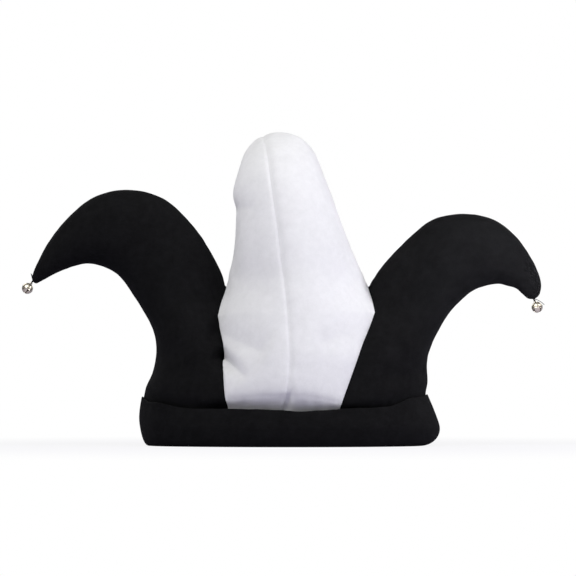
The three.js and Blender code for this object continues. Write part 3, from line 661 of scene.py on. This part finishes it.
def build_cuff():
    steps = 560
    rings = []
    for i in range(steps):
        deg = 360 * i / steps
        a = math.radians(deg)
        sec = cuff_section(cuff_at(deg))
        out = np.array([math.cos(a) / RIM_A, math.sin(a) / RIM_B])
        out /= np.linalg.norm(out)
        base = np.array([CROWN_X + RIM_A * math.cos(a), RIM_B * math.sin(a)])
        rings.append(np.concatenate([base + sec[:, :1] * out, sec[:, 1:]], 1))
    g = np.array(rings)
    count = g.shape[1]
    p = g.reshape(-1, 3)
    # soft unevenness, none where it stands and none in the fold
    free = smooth(2.0, 12.0, p[:, 2])
    a = np.arctan2(p[:, 1] / RIM_B, (p[:, 0] - CROWN_X) / RIM_A)
    out = np.stack([np.cos(a) / RIM_A, np.sin(a) / RIM_B, np.zeros(len(p))], 1)
    out /= np.linalg.norm(out, axis=1)[:, None]
    ring_point = np.stack([np.cos(a) * 70, np.sin(a) * 70, p[:, 2] * 0.9], 1)
    wave = 0.9 * noise(ring_point / 30.0 + 50) + 0.3 * noise(ring_point / 11.0 + 70)
    inner_side = (((p[:, 0] - CROWN_X) / RIM_A) ** 2 + (p[:, 1] / RIM_B) ** 2) < 1.0
    free = np.where(inner_side, 0.0, free)
    # the join where the band's two ends are sewn together, at the back
    turn_mm = (np.mod(a - math.pi / 2 + math.pi, 2 * math.pi) - math.pi) * RIM_A
    join = -0.9 * np.exp(-((turn_mm / 1.3) ** 2)) + 0.35 * np.exp(-(((np.abs(turn_mm) - 3.2) / 1.8) ** 2))
    p = p + out * ((wave + join) * free)[:, None]
    p[:, 2] += np.where(inner_side, 0.0, smooth(18, 30, p[:, 2]) * 1.1 * noise(np.stack([np.cos(a) * 4.2, np.sin(a) * 4.2, np.zeros(len(p))], 1) + 5))
    p[:, 2] = np.maximum(p[:, 2], 0.0)
    faces = []
    for i in range(steps):
        j = (i + 1) % steps
        for k in range(count):
            l = (k + 1) % count
            faces.append([i * count + k, j * count + k, j * count + l, i * count + l])
    return p, faces


verts, faces = build_cuff()
cuff = make_object("cuff_felt", verts, faces, black_felt, 60)
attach(cuff, "root")
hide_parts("cuff")


# ------------------------------------------------------------------ bells and thread
def mesh_object(name, bm, material):
    mesh = bpy.data.meshes.new(name)
    bm.to_mesh(mesh)
    bm.free()
    obj = bpy.data.objects.new(name, mesh)
    bpy.context.scene.collection.objects.link(obj)
    if material:
        mesh.materials.append(material)
    return obj


def lathe(profile, steps):
    bm = bmesh.new()
    rings = []
    for r, z in profile:
        if r < 1e-6:
            rings.append([bm.verts.new((0, 0, z))])
        else:
            rings.append([bm.verts.new((r * math.cos(2 * math.pi * i / steps), r * math.sin(2 * math.pi * i / steps), z)) for i in range(steps)])
    for a, b in zip(rings, rings[1:]):
        for i in range(steps):
            j = (i + 1) % steps
            f = [a[i % len(a)], a[j % len(a)], b[j % len(b)], b[i % len(b)]]
            f = list(dict.fromkeys(f))
            if len(f) > 2:
                bm.faces.new(f)
    return bm


def apply_modifiers(obj):
    deps = bpy.context.evaluated_depsgraph_get()
    mesh = bpy.data.meshes.new_from_object(obj.evaluated_get(deps))
    old = obj.data
    obj.modifiers.clear()
    obj.data = mesh
    bpy.data.meshes.remove(old)


def build_bell(name, row):
    x, z, dx, dz, turn = row
    steps = 72
    arc = np.linspace(0, math.pi, 33)
    outer = []
    for t in arc:
        bead = 0.28 * math.exp(-(((t - math.pi / 2) / 0.075) ** 2))
        outer.append(((BELL_R + bead) * math.sin(t), (BELL_R + bead) * math.cos(t)))
    inner = [((BELL_R - BELL_WALL) * math.sin(t), (BELL_R - BELL_WALL) * math.cos(t)) for t in arc]
    outer = [(max(r, 0.0), h) for r, h in outer]
    inner = [(max(r, 0.0), h) for r, h in inner]
    bm = lathe([(0.0 if i in (0, len(outer) - 1) else r, h) for i, (r, h) in enumerate(outer)], steps)
    inner_bm = lathe([(0.0 if i in (0, len(inner) - 1) else r, h) for i, (r, h) in enumerate(inner)], steps)
    bmesh.ops.recalc_face_normals(bm, faces=bm.faces)
    bmesh.ops.recalc_face_normals(inner_bm, faces=inner_bm.faces)
    bell = mesh_object(name + "_metal", bm, nickel)
    hollow = mesh_object(name + "_hollow", inner_bm, nickel)
    cutters = [hollow]
    height = BELL_R - 0.9
    for a in (0.0, math.pi / 2):
        box = bmesh.new()
        bmesh.ops.create_cube(box, size=1.0)
        bmesh.ops.scale(box, vec=(2 * BELL_R + 2, BELL_SLOT, height), verts=box.verts)
        bmesh.ops.translate(box, vec=(0, 0, -1.0 - height / 2), verts=box.verts)
        bmesh.ops.rotate(box, cent=(0, 0, 0), matrix=Matrix.Rotation(a, 3, "Z"), verts=box.verts)
        cutters.append(mesh_object(name + "_slot", box, nickel))
        hole = bmesh.new()
        bmesh.ops.create_cone(hole, cap_ends=True, segments=20, radius1=BELL_SLOT, radius2=BELL_SLOT, depth=2 * BELL_R + 2)
        bmesh.ops.rotate(hole, cent=(0, 0, 0), matrix=Matrix.Rotation(math.pi / 2, 3, "Y"), verts=hole.verts)
        bmesh.ops.translate(hole, vec=(0, 0, -1.2), verts=hole.verts)
        bmesh.ops.rotate(hole, cent=(0, 0, 0), matrix=Matrix.Rotation(a, 3, "Z"), verts=hole.verts)
        cutters.append(mesh_object(name + "_hole", hole, nickel))
    ring = bmesh.new()
    n, m = 40, 14
    vs = [[ring.verts.new(((LOOP_R + LOOP_WIRE * math.cos(2 * math.pi * j / m)) * math.cos(2 * math.pi * i / n),
                           LOOP_WIRE * math.sin(2 * math.pi * j / m),
                           BELL_R + LOOP_R - LOOP_WIRE - 0.04 + (LOOP_R + LOOP_WIRE * math.cos(2 * math.pi * j / m)) * math.sin(2 * math.pi * i / n)))
           for j in range(m)] for i in range(n)]
    for i in range(n):
        for j in range(m):
            ring.faces.new([vs[i][j], vs[(i + 1) % n][j], vs[(i + 1) % n][(j + 1) % m], vs[i][(j + 1) % m]])
    bmesh.ops.recalc_face_normals(ring, faces=ring.faces)
    loop_obj = mesh_object(name + "_loop", ring, nickel)
    mod = bell.modifiers.new("loop", "BOOLEAN")
    mod.operation, mod.object, mod.solver = "UNION", loop_obj, "EXACT"
    for c in cutters:
        mod = bell.modifiers.new("cut", "BOOLEAN")
        mod.operation, mod.object, mod.solver = "DIFFERENCE", c, "EXACT"
    apply_modifiers(bell)
    clean = bmesh.new()
    clean.from_mesh(bell.data)
    bmesh.ops.remove_doubles(clean, verts=clean.verts, dist=0.004)
    bmesh.ops.dissolve_degenerate(clean, edges=clean.edges, dist=0.002)
    clean.to_mesh(bell.data)
    clean.free()
    for c in cutters + [loop_obj]:
        mesh = c.data
        bpy.data.objects.remove(c)
        bpy.data.meshes.remove(mesh)
    down = Vector((dx, 0, dz)).normalized()
    spin = Vector((0, 0, -1)).rotation_difference(down) @ Quaternion((0, 0, 1), math.radians(turn))
    place = Matrix.Translation(Vector((x, 0, z)) * MM) @ spin.to_matrix().to_4x4() @ Matrix.Scale(MM, 4)
    bell.data.transform(place)
    bell.data.polygons.foreach_set("use_smooth", [True] * len(bell.data.polygons))
    bell.data.set_sharp_from_angle(angle=math.radians(40))
    bell.data.update()
    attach(bell, "root")
    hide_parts(name)
    return bell


def tube(path, radius, sides=8):
    """Vertices and faces of a closed tube along a path, in mm."""
    path = np.asarray(path, float)
    radius = np.broadcast_to(radius, len(path))
    way = np.gradient(path, axis=0)
    way /= np.maximum(np.linalg.norm(way, axis=1), 1e-9)[:, None]
    ref = np.array([0.0, 1.0, 0.0]) if abs(way[0][1]) < 0.9 else np.array([1.0, 0.0, 0.0])
    verts, faces = [], []
    side = np.cross(way[0], ref)
    side /= np.linalg.norm(side)
    for i, (p, w) in enumerate(zip(path, way)):
        side = side - w * (side @ w)
        side /= max(np.linalg.norm(side), 1e-9)
        up = np.cross(w, side)
        for k in range(sides):
            a = 2 * math.pi * k / sides
            verts.append(p + radius[i] * (math.cos(a) * side + math.sin(a) * up))
    n = len(path)
    for i in range(n - 1):
        for k in range(sides):
            l = (k + 1) % sides
            faces.append([i * sides + k, i * sides + l, (i + 1) * sides + l, (i + 1) * sides + k])
    faces.append(list(range(sides))[::-1])
    faces.append([(n - 1) * sides + k for k in range(sides)])
    return verts, faces


def build_thread(name, loop, felt, normal, tail, base=0.24):
    """A few turns of thread from a bell's loop into the felt, and the end left over."""
    loop, felt, normal = np.array(loop, float), np.array(felt, float), np.array(normal, float)
    axis = (felt - loop) / np.linalg.norm(felt - loop)
    normal = normal - axis * (normal @ axis)
    normal /= np.linalg.norm(normal)
    other = np.cross(axis, normal)
    verts, faces = [], []

    def add(path, radius):
        v, f = tube(path, radius)
        base = len(verts)
        verts.extend(v)
        faces.extend([[i + base for i in q] for q in f])

    reach = np.linalg.norm(felt - loop) / 2 + 0.9
    middle = loop + axis * (reach - 0.12)
    for k, (lean, wide) in enumerate(((-0.3, 0.92), (0.0, 1.02), (0.25, 0.95), (0.1, 0.88))):
        side = normal * math.cos(lean) + other * math.sin(lean)
        shift = other * (0.1 * (k - 1.5))
        t = np.linspace(0, 2 * math.pi * 0.995, 40)[:, None]
        add(middle + shift + axis * reach * np.cos(t) + side * wide * np.sin(t), 0.2)
    t = np.linspace(0, 1, 14)[:, None]
    a, b, c, d = (np.array(q, float) for q in tail)
    add((1 - t) ** 3 * a + 3 * (1 - t) ** 2 * t * b + 3 * (1 - t) * t * t * c + t ** 3 * d, np.linspace(base, 0.24, len(t)))
    obj = make_object(name, verts, faces, black_felt, 60)
    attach(obj, "root")
    return obj


for name, row in BELLS.items():
    build_bell(name, row)
build_thread("left_thread", (-215.15, 0, 137.85), (-212.4, 0, 141.6), (-0.28, 0.94, 0.20),
             ((-212.9, -1.3, 141.0), (-213.6, -2.0, 142.4), (-214.0, -2.2, 144.4), (-215.2, -2.1, 146.2)), base=1.15)
build_thread("right_thread", (213.4, 0, 122.5), (212.4, 0, 125.4), (-0.47, 0.87, -0.17),
             ((213.0, -1.2, 124.9), (215.4, -2.0, 123.8), (218.4, -2.2, 122.6), (221.2, -1.9, 119.6)))


# ------------------------------------------------------------------ floor, light, camera
floor_mesh = bpy.data.meshes.new("floor")
bm = bmesh.new()
bmesh.ops.create_circle(bm, cap_ends=True, segments=96, radius=14.0)
bm.to_mesh(floor_mesh)
bm.free()
floor = bpy.data.objects.new("floor", floor_mesh)
bpy.context.scene.collection.objects.link(floor)
floor_mat, tree, bsdf = new_material("floor_pale")
geo = tree.nodes.new("ShaderNodeTexCoord")
dist = tree.nodes.new("ShaderNodeVectorMath")
dist.operation = "LENGTH"
tree.links.new(geo.outputs["Object"], dist.inputs[0])
fade = tree.nodes.new("ShaderNodeMapRange")
fade.inputs["From Min"].default_value = 0.18
fade.inputs["From Max"].default_value = 0.62
fade.inputs["To Min"].default_value = 0.86
fade.interpolation_type = "SMOOTHSTEP"
tree.links.new(dist.outputs["Value"], fade.inputs["Value"])
glow = tree.nodes.new("ShaderNodeEmission")
glow.inputs["Color"].default_value = (1, 1, 1, 1)
glow.inputs["Strength"].default_value = 1.0
blend = tree.nodes.new("ShaderNodeMixShader")
out = next(n for n in tree.nodes if n.type == "OUTPUT_MATERIAL")
bsdf.inputs["Base Color"].default_value = (0.585, 0.565, 0.71, 1)
bsdf.inputs["Roughness"].default_value = 0.9
bsdf.inputs["Specular IOR Level"].default_value = 0.1
seen_ray = tree.nodes.new("ShaderNodeLightPath").outputs["Is Camera Ray"]
tree.links.new(math_node(tree, "MULTIPLY", fade.outputs["Result"], seen_ray), blend.inputs["Fac"])
tree.links.new(bsdf.outputs["BSDF"], blend.inputs[1])
tree.links.new(glow.outputs["Emission"], blend.inputs[2])
tree.links.new(blend.outputs["Shader"], out.inputs["Surface"])
floor_mesh.materials.append(floor_mat)

WORLD_EVEN, WORLD_ABOVE = 0.155, 0.0     # soft light from all round, and more from above
world = bpy.data.worlds.new("studio")
bpy.context.scene.world = world
world.use_nodes = True
tree = world.node_tree
tree.nodes.clear()
out = tree.nodes.new("ShaderNodeOutputWorld")
seen, lit = tree.nodes.new("ShaderNodeBackground"), tree.nodes.new("ShaderNodeBackground")
seen.inputs["Strength"].default_value = 1.0
seen.inputs["Color"].default_value = (1, 1, 1, 1)
lit.inputs["Color"].default_value = (1, 1, 1, 1)
split = tree.nodes.new("ShaderNodeSeparateXYZ")
tree.links.new(tree.nodes.new("ShaderNodeTexCoord").outputs["Generated"], split.inputs["Vector"])
above = math_node(tree, "MULTIPLY", math_node(tree, "MAXIMUM", split.outputs["Z"], 0.0), WORLD_ABOVE)
tree.links.new(math_node(tree, "ADD", above, WORLD_EVEN), lit.inputs["Strength"])
path = tree.nodes.new("ShaderNodeLightPath")
both = tree.nodes.new("ShaderNodeMixShader")
tree.links.new(path.outputs["Is Camera Ray"], both.inputs["Fac"])
tree.links.new(lit.outputs["Background"], both.inputs[1])
tree.links.new(seen.outputs["Background"], both.inputs[2])
tree.links.new(both.outputs["Shader"], out.inputs["Surface"])


def area_light(name, at, size, power, colour, aim=(0, 0, 0.12)):
    data = bpy.data.lights.new(name, "AREA")
    data.shape, data.size, data.energy, data.color = "DISK", size, power, colour
    obj = bpy.data.objects.new(name, data)
    obj.location = at
    obj.rotation_mode = "QUATERNION"
    obj.rotation_quaternion = (Vector(aim) - Vector(at)).to_track_quat("-Z", "Y")
    obj.visible_camera = False
    bpy.context.scene.collection.objects.link(obj)
    return obj


LIGHTS = [  # name, place, size, power, colour
    ("right", (0.72, -0.3, 0.46), 0.4, 4.4, (0.98, 0.975, 1.0)),
    ("left_high", (-0.5, -0.6, 0.85), 0.45, 4.8, (1.0, 1.0, 0.97)),
    ("left", (-0.85, -0.45, 0.5), 0.4, 0.75, (1.0, 1.0, 0.96)),
    ("top", (0.0, -0.45, 0.85), 0.45, 1.4, (1.0, 1.0, 1.0)),
    ("back_left", (-0.9, 1.3, 1.1), 1.0, 6.0, (1.0, 1.0, 1.0)),
    ("back_right", (1.1, 1.2, 0.9), 1.0, 4.0, (1.0, 1.0, 1.0)),
]
for name, at, size, power, colour in LIGHTS:
    area_light(name, at, size, power, colour)
# a narrow soft lamp on the right horn
narrow = area_light("right_horn", (0.36, -0.55, 0.2), 0.16, 0.08, (0.98, 0.975, 1.0), (0.195, 0.0, 0.148))
narrow.data.spread = math.radians(23)

SCALE = 0.85 * MM                      # metres a pixel in the plane of the horns
DIST = 2.6
cam_data = bpy.data.cameras.new("camera")
cam_data.sensor_fit = "HORIZONTAL"
cam_data.sensor_width = 36.0
cam_data.lens = 36.0 * DIST / (576 * SCALE)
cam_data.dof.use_dof = False
cam = bpy.data.objects.new("camera", cam_data)
aim = Vector(((288 - 284) * SCALE, 0, (445.6 - 288) * SCALE))
cam.location = (aim.x, -DIST, 0.045)
cam.rotation_mode = "QUATERNION"
cam.rotation_quaternion = (aim - cam.location).to_track_quat("-Z", "Y")
bpy.context.scene.collection.objects.link(cam)
bpy.context.scene.camera = cam
bpy.context.scene.view_settings.view_transform = "Standard"
bpy.context.scene.view_settings.look = "None"
